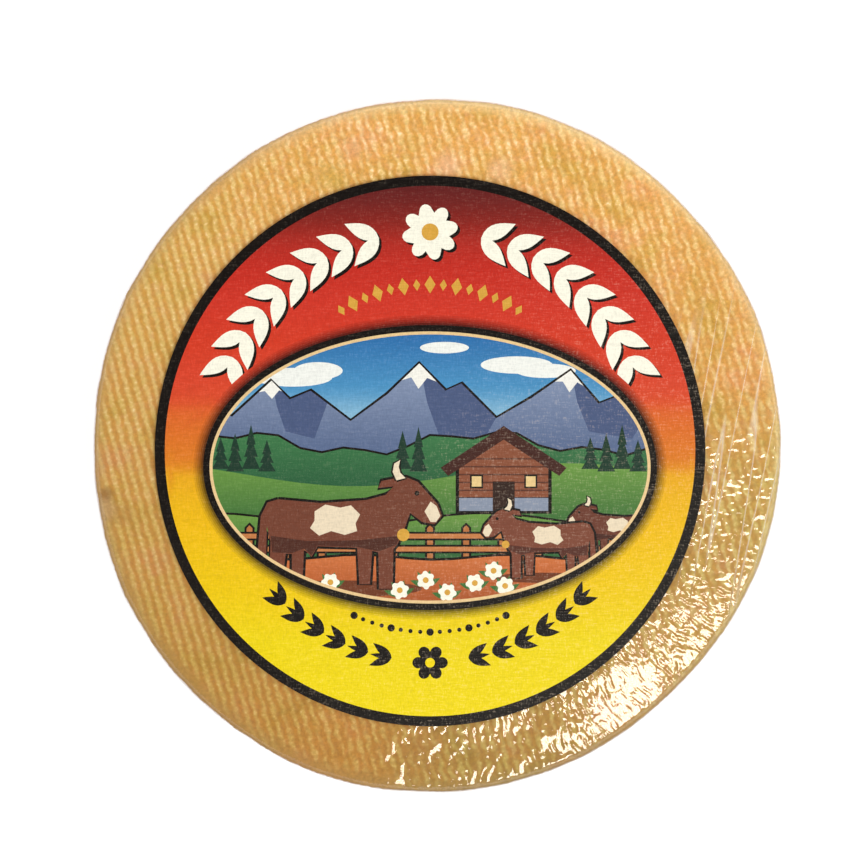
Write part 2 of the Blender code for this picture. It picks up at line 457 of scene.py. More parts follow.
def clothRelief(material):
    tree, given = newTree("clothRelief", rind["relief"])
    here = addNode(tree, "GeometryNodeInputPosition")
    facing = addNode(tree, "GeometryNodeInputNormal")
    faceRib, sideRib, onFace = clothPattern(tree, here, facing, given)
    height = 0.0
    for size, deep in (("lumpSize", "lumpDepth"), ("grainSize", "grainDepth")):
        scale = addNode(tree, "ShaderNodeMath", {0: 1.0, 1: given[size]}, operation="DIVIDE")
        bumps = addNode(tree, "ShaderNodeTexNoise", {"Vector": here, "Scale": scale, "Detail": 2.0})
        bumps = addNode(tree, "ShaderNodeMath", {0: bumps, 1: 0.55}, operation="SUBTRACT")
        height = addNode(
            tree, "ShaderNodeMath", {0: bumps, 1: given[deep], 2: height}, operation="MULTIPLY_ADD")
    groove = addNode(tree, "ShaderNodeMath", {0: faceRib, 1: onFace}, operation="SUBTRACT")
    height = addNode(
        tree, "ShaderNodeMath", {0: groove, 1: given["ribDepth"], 2: height}, operation="MULTIPLY_ADD")
    height = addNode(
        tree, "ShaderNodeMath", {0: sideRib, 1: given["sideRibDepth"], 2: height}, operation="MULTIPLY_ADD")
    push = addNode(tree, "ShaderNodeVectorMath", {0: facing, "Scale": height}, operation="SCALE")
    moved = addNode(tree, "GeometryNodeSetPosition", {"Geometry": given["Geometry"], "Offset": push})
    endTree(tree, slumped(tree, here, facing, moved, given), material)
    return tree


# Washed rind of a pressed hard cheese: waxy, ochre, blotched pink and olive, paler on the cloth's ribs
def washedRindMaterial():
    material, tree = newMaterial("washedRind")
    coordinates = addNode(tree, "ShaderNodeTexCoord")
    place = coordinates.outputs["Object"]
    faceRib, sideRib, _ = clothPattern(tree, place, coordinates.outputs["Normal"], cloth)
    patches = addNode(tree, "ShaderNodeTexNoise", {
        "Vector": place, "Scale": perMetre(rind["patchSize"]), "Detail": 4.0, "Roughness": 0.62})
    valley = addNode(tree, "ShaderNodeValToRGB", {"Fac": patches}, stops=(
        (0.32, "#cf9c38"), (0.44, "#dc9f44"), (0.56, "#e2a24c"), (0.68, "#e29a55")))
    crest = addNode(tree, "ShaderNodeValToRGB", {"Fac": patches}, stops=(
        (0.32, "#ecc46c"), (0.44, "#f4cb79"), (0.56, "#f8cd83"), (0.68, "#f7c78b")))
    ribs = addNode(tree, "ShaderNodeMath", {0: sideRib, 1: faceRib}, operation="ADD")
    ribTone = addNode(tree, "ShaderNodeMapRange", {
        "Value": ribs, "From Min": 0.0, "From Max": 0.85}, interpolation_type="SMOOTHSTEP")
    golden = addNode(tree, "ShaderNodeMix", {
        "Factor": ribTone, "A": valley, "B": crest}, data_type="RGBA")
    # Pale grains cling to the crests
    meal = addNode(tree, "ShaderNodeTexNoise", {
        "Vector": place, "Scale": perMetre(rind["mealSize"]), "Detail": 3.0, "Roughness": 0.65})
    grains = addNode(tree, "ShaderNodeMapRange", {
        "Value": meal, "From Min": 0.53, "From Max": 0.7, "To Max": 0.6})
    grains = addNode(tree, "ShaderNodeMath", {0: grains, 1: ribTone}, operation="MULTIPLY")
    golden = addNode(tree, "ShaderNodeMix", {
        "Factor": grains, "A": golden, "B": ink("#fbe6c0")}, data_type="RGBA")
    # Small flecks of rosier and yellower smear
    smear = addNode(tree, "ShaderNodeTexNoise", {
        "Vector": place, "Scale": perMetre(rind["smearSize"]), "Detail": 3.0, "Roughness": 0.7})
    for low, high, code in ((0.56, 0.70, "#efb07c"), (0.44, 0.32, "#e6bd58")):
        share = addNode(tree, "ShaderNodeMapRange", {
            "Value": smear, "From Min": low, "From Max": high, "To Max": 0.32})
        golden = addNode(tree, "ShaderNodeMix", {
            "Factor": share, "A": golden, "B": ink(code)}, data_type="RGBA")
    # Towards the edge, painted light and shade: a painted highlight makes the rind paler on the lit side,
    # and painted shade makes it greyer on the other
    _, reach = fromAxis(tree, place)
    rim = addNode(tree, "ShaderNodeMapRange", {
        "Value": reach, "From Min": rind["rimReach"][0], "From Max": rind["rimReach"][1],
        "To Max": rind["rimShare"]}, interpolation_type="SMOOTHSTEP")
    lit = sideShare(tree, place, rind["paintedLitSide"])
    paintedEdgeLight = addNode(tree, "ShaderNodeMix", {
        "Factor": lit, "A": ink("#d2a96c"), "B": ink("#fbdd98")}, data_type="RGBA")
    golden = addNode(tree, "ShaderNodeMix", {
        "Factor": rim, "A": golden, "B": paintedEdgeLight}, data_type="RGBA")
    for (px, py), half, code, strength in rind["stainsAndShade"]:
        spot = (*fromPhoto(px, py), wheelHeight)
        away = addNode(tree, "ShaderNodeVectorMath", {0: place, 1: spot}, operation="DISTANCE")
        ragged = addNode(tree, "ShaderNodeMath", {
            0: patches, 1: 1.6 * half, 2: away.outputs["Value"]}, operation="MULTIPLY_ADD")
        share = addNode(tree, "ShaderNodeMapRange", {
            "Value": ragged, "From Min": 1.1 * half, "From Max": 2.3 * half,
            "To Min": strength, "To Max": 0.0}, interpolation_type="SMOOTHSTEP")
        golden = addNode(tree, "ShaderNodeMix", {
            "Factor": share, "A": golden, "B": ink(code)}, data_type="RGBA")
    # Painted light and shade: the colour is scaled darker and more saturated towards one side of the wheel
    # and brighter towards the other, standing in for light falling unevenly across it
    slope = addNode(tree, "ShaderNodeVectorMath", {
        0: place, 1: (0.16, 0.99, 0.0)}, operation="DOT_PRODUCT").outputs["Value"]
    up = addNode(tree, "ShaderNodeMapRange", {"Value": slope, "From Min": -50 * mm, "From Max": 50 * mm})
    shade = addNode(tree, "ShaderNodeMix", {
        "Factor": up, "A": (0.68, 0.61, 0.37), "B": (1.12, 1.13, 1.24)}, data_type="VECTOR")
    toned = addNode(tree, "ShaderNodeVectorMath", {0: golden, 1: shade}, operation="MULTIPLY")
    # It is a little more olive where the ribs are even, and yellower under the crumpled film
    even = sideShare(tree, place, clothNoise["evenSide"])
    slack = sideShare(tree, place, film["crumpledSide"])
    for share, code in ((even, "#f6fbf2"), (slack, "#f1fff4")):
        toned = addNode(tree, "ShaderNodeMix", {
            "Factor": share, "A": toned, "B": ink(code)}, data_type="RGBA", blend_type="MULTIPLY")
    # The upright side has a browner rind than the flat faces, in cloudy patches
    clouds = addNode(tree, "ShaderNodeTexNoise", {
        "Vector": place, "Scale": perMetre(rind["cloudSize"]), "Detail": 4.0, "Roughness": 0.6})
    sideTone = addNode(tree, "ShaderNodeValToRGB", {"Fac": clouds}, stops=(
        (0.34, "#c69a66"), (0.46, "#d6ad78"), (0.54, "#e3c394"), (0.66, "#d5a976")))
    ways = addNode(tree, "ShaderNodeSeparateXYZ", {"Vector": coordinates.outputs["Normal"]})
    flatness = addNode(tree, "ShaderNodeMath", {0: ways.outputs["Z"]}, operation="ABSOLUTE")
    browner = addNode(tree, "ShaderNodeMapRange", {"Value": flatness, "From Min": 0.5, "From Max": 0.15})
    toned = addNode(tree, "ShaderNodeMix", {
        "Factor": browner, "A": toned, "B": sideTone}, data_type="RGBA", blend_type="MULTIPLY")
    # Fine mealy grain of the washed surface
    mealTone = addNode(tree, "ShaderNodeMapRange", {
        "Value": meal, "From Min": 0.3, "From Max": 0.7, "To Min": 0.8, "To Max": 1.14})
    calmer = addNode(tree, "ShaderNodeMath", {0: even, 1: 0.25}, operation="MULTIPLY")
    mealTone = addNode(tree, "ShaderNodeMix", {"Factor": calmer, "A": mealTone, "B": 1.0})
    mealy = addNode(tree, "ShaderNodeVectorMath", {0: toned, "Scale": mealTone}, operation="SCALE")
    bump = addNode(tree, "ShaderNodeBump", {
        "Height": meal, "Strength": 1.0, "Distance": rind["mealDepth"]})
    shader = addNode(tree, "ShaderNodeBsdfPrincipled", {
        "Base Color": mealy, "Roughness": 0.55, "IOR": 1.46, "Normal": bump})
    addNode(tree, "ShaderNodeOutputMaterial", {"Surface": shader})
    return material


def buildRind():
    angles = np.arange(rind["steps"]) * 2 * math.pi / rind["steps"] + cloth["ribLean"]
    mesh = wheelMesh("rindWheel", rind["layout"], rind["inset"], angles)
    piece = newPiece("rindWheel", mesh)
    runTree(piece, clothRelief(washedRindMaterial()), rind["relief"])
    print("rind:", len(piece.data.polygons), "faces")
    return piece


# Film: clear shrink film, drawn tight over the ribs and crumpled over the slumped side
film = {
    "layout": {
        "openFrom": 43.0 * mm, "topRings": 48, "shoulderRings": 14,
        "sideRings": 16, "footRings": 8, "topRows": 2, "footRows": 8,
    },
    "steps": 1000,
    "crowding": 0.55,  # how much closer the points stand where the film is crumpled
    "flatSpot": (628, 698),  # pixel of the photo
    "flatReach": (3.5 * mm, 9.5 * mm),
    "flatCalm": 0.42,
    "crumpledSide": side(-47.5, 62, 37),
    # Long thin creases on top: their side, lean, spacing, length, reach into the height and depth
    "creasedSide": side(-2, 34, 16),
    "creaseLean": math.radians(10.6),
    "creaseSize": (2.2 * mm, 60 * mm, 14 * mm),
    "creaseDepth": 0.06 * mm,
    # Tension creases up the side: spacing both ways, length and depth
    "pleatSize": (9 * mm, 9 * mm, 45 * mm),
    "pleatDepth": 0.2 * mm,
    "milkiness": 0.32,
    "swirlSize": 4.5 * mm,
    "swirlBy": 5.0,
    "dimpleSize": 0.9 * mm,
    "patchSize": 8 * mm,
    "rippleSize": 0.4 * mm,
    "rippleDepth": (0.003 * mm, 0.007 * mm),  # tight and crumpled
    "bendSize": 16 * mm,
    "bendBy": 9 * mm,
    "lineShare": 0.035,  # how near the noise's middle a crease ends
    "mirrored": (0.045, 0.08),  # share of the light face on, where it wets the rind and where it is slack
    "sidelong": (5.0, 0.5),  # how steeply the share grows to the side, and by how much
    "roughness": 0.035,
    "spread": (0.38, 0.16),  # roughness and share of the gloss that fine creases spread
    "pleatMilk": 0.3,
    "relief": {
        "crinkleWidth": 0.7 * mm,
        "crinkleLength": 2.6 * mm,
        "crinkleHeight": 0.27 * mm,
        "tightHeight": 0.025 * mm,
        "wrapReach": 50 * mm,
        "slumpDepth": slump["depth"],
        "unevenness": slump["unevenness"],
    },
}


# A noise that bends what follows these places by about this much each way
def drift(tree, here, size, by, detail):
    noise = addNode(tree, "ShaderNodeTexNoise", {
        "Vector": here, "Scale": perMetre(size), "Detail": detail}).outputs["Color"]
    evened = addNode(tree, "ShaderNodeVectorMath", {0: noise, 1: (0.5, 0.5, 0.5)}, operation="SUBTRACT")
    return addNode(tree, "ShaderNodeVectorMath", {0: evened, "Scale": by}, operation="SCALE")


def filmCrinkle(material):
    tree, given = newTree("filmCrinkle", film["relief"])
    here = addNode(tree, "GeometryNodeInputPosition")
    facing = addNode(tree, "GeometryNodeInputNormal")
    outwards, reach = fromAxis(tree, here)
    # The crinkles run out from the label, bent by a slow swirl
    swirl = drift(tree, here, film["swirlSize"], film["swirlBy"], 1.5)
    around = addNode(tree, "ShaderNodeMath", {
        0: given["wrapReach"], 1: given["crinkleWidth"]}, operation="DIVIDE")
    wrapped = addNode(tree, "ShaderNodeVectorMath", {0: outwards, "Scale": around}, operation="SCALE")
    wrappedApart = addNode(tree, "ShaderNodeSeparateXYZ", {"Vector": wrapped})
    lengthwise = addNode(tree, "ShaderNodeMath", {
        0: reach, 1: given["crinkleLength"]}, operation="DIVIDE")
    drawn = addNode(tree, "ShaderNodeCombineXYZ", {
        "X": wrappedApart.outputs["X"], "Y": wrappedApart.outputs["Y"], "Z": lengthwise})
    drawn = addNode(tree, "ShaderNodeVectorMath", {0: drawn, 1: swirl}, operation="ADD")
    folds = addNode(tree, "ShaderNodeTexNoise", {"Vector": drawn, "Scale": 1.0, "Detail": 1.0})
    folds = addNode(tree, "ShaderNodeMath", {0: folds, 1: 0.5}, operation="SUBTRACT")
    # Smaller dimples break the folds up
    dimples = addNode(tree, "ShaderNodeTexNoise", {
        "Vector": here, "Scale": perMetre(film["dimpleSize"]), "Detail": 1.0, "Distortion": 0.8})
    dimples = addNode(tree, "ShaderNodeMath", {0: dimples, 1: 0.5}, operation="SUBTRACT")
    rough = addNode(tree, "ShaderNodeMath", {0: dimples, 1: 0.5, 2: folds}, operation="MULTIPLY_ADD")
    ways = addNode(tree, "ShaderNodeSeparateXYZ", {"Vector": facing})
    onTop = addNode(tree, "ShaderNodeMapRange", {
        "Value": ways.outputs["Z"], "From Min": 0.3, "From Max": 0.95}, interpolation_type="SMOOTHSTEP")
    patchy = addNode(tree, "ShaderNodeTexNoise", {
        "Vector": here, "Scale": perMetre(film["patchSize"]), "Detail": 1.0})
    patchy = addNode(tree, "ShaderNodeMapRange", {
        "Value": patchy, "From Min": 0.35, "From Max": 0.62, "To Min": 0.65, "To Max": 1.2})
    loose = addNode(tree, "ShaderNodeMath", {
        0: sideShare(tree, here, film["crumpledSide"]), 1: onTop}, operation="MULTIPLY")
    loose = addNode(tree, "ShaderNodeMath", {0: loose, 1: patchy}, operation="MULTIPLY")
    # One spot was pulled flat
    px, py = film["flatSpot"]
    away = addNode(tree, "ShaderNodeVectorMath", {
        0: here, 1: (*fromPhoto(px, py), wheelHeight)}, operation="DISTANCE").outputs["Value"]
    pulled = addNode(tree, "ShaderNodeMapRange", {
        "Value": away, "From Min": film["flatReach"][0], "From Max": film["flatReach"][1],
        "To Min": film["flatCalm"]}, interpolation_type="SMOOTHSTEP")
    loose = addNode(tree, "ShaderNodeMath", {0: loose, 1: pulled}, operation="MULTIPLY")
    tall = addNode(tree, "ShaderNodeMath", {
        0: loose, 1: given["crinkleHeight"], 2: given["tightHeight"]}, operation="MULTIPLY_ADD")
    height = addNode(tree, "ShaderNodeMath", {0: rough, 1: tall}, operation="MULTIPLY")
    push = addNode(tree, "ShaderNodeVectorMath", {0: facing, "Scale": height}, operation="SCALE")
    moved = addNode(tree, "GeometryNodeSetPosition", {"Geometry": given["Geometry"], "Offset": push})
    endTree(tree, slumped(tree, here, facing, moved, given), material)
    return tree


# Thin lines, each where a noise drawn out to these sizes passes its middle value
def creaseLines(tree, here, sizes, detail):
    drawn = addNode(tree, "ShaderNodeVectorMath", {
        0: here, 1: [perMetre(size) for size in sizes]}, operation="MULTIPLY")
    noise = addNode(tree, "ShaderNodeTexNoise", {"Vector": drawn, "Scale": 1.0, "Detail": detail})
    apart = addNode(tree, "ShaderNodeMath", {0: noise, 1: 0.5}, operation="SUBTRACT")
    apart = addNode(tree, "ShaderNodeMath", {0: apart}, operation="ABSOLUTE")
    return addNode(tree, "ShaderNodeMapRange", {
        "Value": apart, "From Max": film["lineShare"], "To Min": 1.0, "To Max": 0.0})


# Clear polyolefin shrink film: no colour, a hard gloss from both of its faces, fine creases
def shrinkFilmMaterial():
    material, tree = newMaterial("shrinkFilm")
    coordinates = addNode(tree, "ShaderNodeTexCoord")
    place = coordinates.outputs["Object"]
    ways = addNode(tree, "ShaderNodeSeparateXYZ", {"Vector": coordinates.outputs["Normal"]})
    onTop = addNode(tree, "ShaderNodeMapRange", {
        "Value": ways.outputs["Z"], "From Min": 0.5, "From Max": 0.9})
    flatness = addNode(tree, "ShaderNodeMath", {0: ways.outputs["Z"]}, operation="ABSOLUTE")
    onSide = addNode(tree, "ShaderNodeMapRange", {"Value": flatness, "From Min": 0.7, "From Max": 0.2})
    ripples = addNode(tree, "ShaderNodeTexNoise", {
        "Vector": place, "Scale": perMetre(film["rippleSize"]), "Detail": 2.0, "Distortion": 0.8})
    loose = sideShare(tree, place, film["crumpledSide"])
    rippled = addNode(tree, "ShaderNodeMapRange", {
        "Value": loose, "To Min": film["rippleDepth"][0], "To Max": film["rippleDepth"][1]})
    height = addNode(tree, "ShaderNodeMath", {0: ripples, 1: rippled}, operation="MULTIPLY")
    # Long thin creases cross one side of the top
    turned = addNode(tree, "ShaderNodeVectorRotate", {
        "Vector": place, "Angle": film["creaseLean"]}, rotation_type="Z_AXIS")
    creases = creaseLines(tree, turned, film["creaseSize"], 0.0)
    creased = sideShare(tree, place, film["creasedSide"])
    creased = addNode(tree, "ShaderNodeMath", {0: creased, 1: onTop}, operation="MULTIPLY")
    creases = addNode(tree, "ShaderNodeMath", {0: creases, 1: creased}, operation="MULTIPLY")
    height = addNode(
        tree, "ShaderNodeMath", {0: creases, 1: film["creaseDepth"], 2: height}, operation="MULTIPLY_ADD")
    # Tension creases run up the side, a little bent
    bends = drift(tree, place, film["bendSize"], film["bendBy"], 1.0)
    bent = addNode(tree, "ShaderNodeVectorMath", {0: place, 1: bends}, operation="ADD")
    pleats = creaseLines(tree, bent, film["pleatSize"], 1.0)
    pleats = addNode(tree, "ShaderNodeMath", {0: pleats, 1: onSide}, operation="MULTIPLY")
    height = addNode(
        tree, "ShaderNodeMath", {0: pleats, 1: film["pleatDepth"], 2: height}, operation="MULTIPLY_ADD")
    bump = addNode(tree, "ShaderNodeBump", {"Height": height, "Strength": 1.0, "Distance": 1.0})
    # It mirrors more light from the side, and from both of its faces where it is slack
    sidelong = addNode(tree, "ShaderNodeLayerWeight", {"Normal": bump}).outputs["Facing"]
    steepness, most = film["sidelong"]
    steep = addNode(tree, "ShaderNodeMath", {0: sidelong, 1: steepness}, operation="POWER")
    faceOn = addNode(tree, "ShaderNodeMapRange", {
        "Value": loose, "To Min": film["mirrored"][0], "To Max": film["mirrored"][1]})
    mirrored = addNode(tree, "ShaderNodeMath", {0: steep, 1: most, 2: faceOn}, operation="MULTIPLY_ADD")
    clear = addNode(tree, "ShaderNodeBsdfTransparent", {"Color": ink("#ffffff")})
    sharp = addNode(tree, "ShaderNodeBsdfGlossy", {
        "Color": ink("#ffffff"), "Roughness": film["roughness"], "Normal": bump})
    # Creases too fine to draw spread part of the gloss where the film is crumpled
    spread = addNode(tree, "ShaderNodeBsdfGlossy", {
        "Color": ink("#ffffff"), "Roughness": film["spread"][0], "Normal": bump})
    fine = addNode(tree, "ShaderNodeMath", {0: loose, 1: film["spread"][1]}, operation="MULTIPLY")
    gloss = addNode(tree, "ShaderNodeMixShader", {0: fine, 1: sharp, 2: spread})
    shader = addNode(tree, "ShaderNodeMixShader", {0: mirrored, 1: clear, 2: gloss})
    # Film folded on itself is a little milky
    milky = addNode(tree, "ShaderNodeBsdfDiffuse", {"Color": ink("#fffdf4")})
    folded = addNode(
        tree, "ShaderNodeMath", {0: pleats, 1: film["pleatMilk"], 2: creases}, operation="MULTIPLY_ADD")
    folded = addNode(tree, "ShaderNodeMath", {0: folded, 1: film["milkiness"]}, operation="MULTIPLY")
    shader = addNode(tree, "ShaderNodeMixShader", {0: folded, 1: shader, 2: milky})
    addNode(tree, "ShaderNodeOutputMaterial", {"Surface": shader})
    return material


def buildFilm():
    even = np.arange(film["steps"]) * 2 * math.pi / film["steps"]
    angles = even - film["crowding"] * np.sin(even) + slump["side"]["turn"]
    mesh = wheelMesh("shrinkFilm", film["layout"], 0.0, angles)
    piece = newPiece("shrinkFilm", mesh)
    runTree(piece, filmCrinkle(shrinkFilmMaterial()), film["relief"])
    print("film:", len(piece.data.polygons), "faces")
    return piece


# Label: round printed paper with a linen emboss. Places on it are in millimetres from its middle
label = {
    "border": 1.65,
    "gridStep": 1.5,
    "gridStart": (0.31, 0.17),  # in steps off the middle, so that no grid point falls on an outline
    "thickness": 0.16 * mm,
    "top": wheelHeight + 0.22 * mm,
    "ramp": (  # height up the label and the colour printed there
        (45.0, "#561a1c"), (41.0, "#6e1f1d"), (37.4, "#8a221b"), (33.5, "#b42a20"), (30.0, "#c42b1f"),
        (23.7, "#d03525"), (18.0, "#d43a22"), (11.6, "#d8442a"), (8.3, "#da4c2a"), (6.0, "#dc6628"),
        (-1.5, "#dc7c22"), (-3.0, "#e08f1e"), (-3.9, "#e8a71a"), (-8.0, "#ebb412"), (-14.0, "#eebd0a"),
        (-24.0, "#edc903"), (-31.0, "#edd405"), (-45.0, "#f0d803"),
    ),
    "black": "#0f0704",
    "cream": "#fbf8e7",
    "gold": "#d9a441",
    "yellow": "#f3d805",
    "paper": "#efe9dc",
    "shadowShift": (0.42, -0.42),
    # Rows that follow the edge: radius, how many a side, turn of the first and of each next one in degrees
    "laurel": (35.8, 8, 13.5, 7.3),
    "laurelLeaf": (6.1, 2.5, 0.62),  # length, width and how far each of a pair turns out
    "ears": (34.4, 6, 10.5, 6.6),
    "lozenges": (27.2, 7, 4.6),
    "lozengeHalf": (1.45, 0.95),  # large and small, by turns
    "lozengeWidth": 0.62,  # share of its height
    "dots": (29.6, 8, 3.1),
    "lowBlossom": (0, -34.6),
    "waviness": 0.02 * mm,
    "thread": 0.22 * mm,
    "threadDepth": 0.05 * mm,
    # bare paper tone on crossing threads, painted stronger on the softbox side as a glint
    "bareAndGlintTone": "#d8c4ae",
    "paintedLitSide": side(-35, 120, 30),
}
# The oval view in its middle. It is drawn round (0, 0) and then grown
view = {
    "middle": (0.0, -2.7),
    "half": (36.8, 23.0),
    "grown": 1.18,
    "edge": 36,  # the drawing runs this far to both sides, and down to its foot
    "foot": -24,
    "frame": (0.3, -0.75, -1.25),  # its black line, pale rim and opening, each from its half width on
    "shadow": (5, 1.9, 0.32),  # steps, reach of the first and how much less each next one reaches
    "outline": 0.3,
    "sky": ((20.0, "#2467a8"), (10.0, "#4b93c4"), (2.0, "#a9d3e4"), (-30.0, "#a9d3e4")),
    "rim": "#e9c892",
    "cloud": "#f1f3ee",
    "snow": "#f4f2ea",
    "fir": "#1d3a2c",
    "leaf": "#3f7038",
    "hide": "#ead9bd",
    "shade": "#6e3820",
}


def rampColour(stops):
    places = [place for place, _ in stops][::-1]
    tones = np.array([ink(code)[:3] for _, code in stops])[::-1]

    def colourAt(x, y):
        return tuple(np.interp(y, places, tones[:, i]) for i in range(3))
    return colourAt


def flat(code):
    tone = ink(code)[:3]
    return lambda x, y: tone


def oval(cx, cy, rx, ry, count):
    turns = [2 * math.pi * i / count for i in range(count)]
    return [(cx + rx * math.cos(turn), cy + ry * math.sin(turn)) for turn in turns]


def circle(cx, cy, radius, count):
    return oval(cx, cy, radius, radius, count)


def shift(points, dx, dy):
    return [(x + dx, y + dy) for x, y in points]


# A pointed leaf from its stalk at (x, y) along angle
def leaf(x, y, angle, length, width, count=8):
    half = []
    for i in range(count + 1):
        share = i / count
        half.append((share * length, width / 2 * math.sin(math.pi * share ** 0.8)))
    spots = half + [(u, -v) for u, v in half[-2:0:-1]]
    c, s = math.cos(angle), math.sin(angle)
    return [(x + u * c - v * s, y + u * s + v * c) for u, v in spots]


def blossom(x, y, radius, petals, turn, count=60):
    spots = []
    for i in range(count):
        angle = 2 * math.pi * i / count
        reach = radius * (0.62 + 0.38 * abs(math.cos(petals * angle / 2)) ** 0.7)
        spots.append((x + reach * math.cos(angle + turn), y + reach * math.sin(angle + turn)))
    return spots


# A strip of this width along a line of points
def stroke(points, width):
    left, right = [], []
    for i, (x, y) in enumerate(points):
        ax, ay = points[max(i - 1, 0)]
        bx, by = points[min(i + 1, len(points) - 1)]
        away = math.hypot(bx - ax, by - ay)
        nx, ny = -(by - ay) / away * width / 2, (bx - ax) / away * width / 2
        left.append((x + nx, y + ny))
        right.append((x - nx, y - ny))
    return left + right[::-1]


# A line of points from edge to edge of the view, with this height at each step
def skyline(heightAt, steps=24):
    edge = view["edge"]
    return [(-edge + 2 * edge * i / steps, heightAt(i)) for i in range(steps + 1)]


def onArc(radius, degrees):
    angle = math.radians(degrees)
    return radius * math.cos(angle), radius * math.sin(angle), angle


# A layer of the print: outline, colour (a code, or a function of the place) and the outline that cuts it off
def layer(points, colour, within=None):
    return points, flat(colour) if isinstance(colour, str) else colour, within


# Ground and upper border: a cream laurel round a blossom, and gold lozenges under it
def upperLayers():
    radius = labelRadius / mm
    layers = [
        layer(circle(0, 0, radius, 240), label["black"]),
        layer(circle(0, 0, radius - label["border"], 220), rampColour(label["ramp"])),
    ]
    radius, count, first, step = label["laurel"]
    wreath = [blossom(0, radius, 4.6, 8, 0.2)]
    long, wide, spread = label["laurelLeaf"]
    for hand in (1, -1):
        for i in range(count):
            x, y, angle = onArc(radius, 90 + hand * (first + step * i))
            for out in (-spread, spread):
                wreath.append(leaf(x, y, angle + hand * (math.pi / 2 + out), long, wide))
    layers += [layer(shift(points, *label["shadowShift"]), label["black"]) for points in wreath]
    layers += [layer(points, label["cream"]) for points in wreath]
    layers.append(layer(circle(0, radius, 1.4, 24), label["gold"]))
    radius, count, step = label["lozenges"]
    for i in range(-count, count + 1):
        x, y, angle = onArc(radius, 90 + step * i)
        size = label["lozengeHalf"][i % 2]
        corners = []
        for k in range(4):
            reach = size * (label["lozengeWidth"] if k % 2 else 1.0)
            corners.append((x + reach * math.cos(angle + k * math.pi / 2),
                            y + reach * math.sin(angle + k * math.pi / 2)))
        layers.append(layer(corners, label["gold"]))
    return layers


# Lower border: black ears of grain on the yellow, round a black blossom, and a dotted arc over them
def lowerLayers():
    layers = []
    radius, count, first, step = label["ears"]
    for hand in (1, -1):
        for i in range(count):
            x, y, angle = onArc(radius, 270 + hand * (first + step * i))
            for spread, long, wide in ((-0.5, 3.9, 1.35), (0.5, 3.9, 1.35), (0.0, 3.6, 0.9)):
                grain = leaf(x, y, angle + hand * (math.pi / 2 + spread), long, wide)
                layers.append(layer(grain, label["black"]))
    layers.append(layer(blossom(*label["lowBlossom"], 2.9, 6, 0.0), label["black"]))
    layers.append(layer(circle(*label["lowBlossom"], 0.8, 16), label["yellow"]))
    radius, count, step = label["dots"]
    for i in range(-count, count + 1):
        x, y, _ = onArc(radius, 270 + step * i)
        layers.append(layer(circle(x, y, 0.36 if i % 4 else 0.62, 10), label["black"]))
    return layers


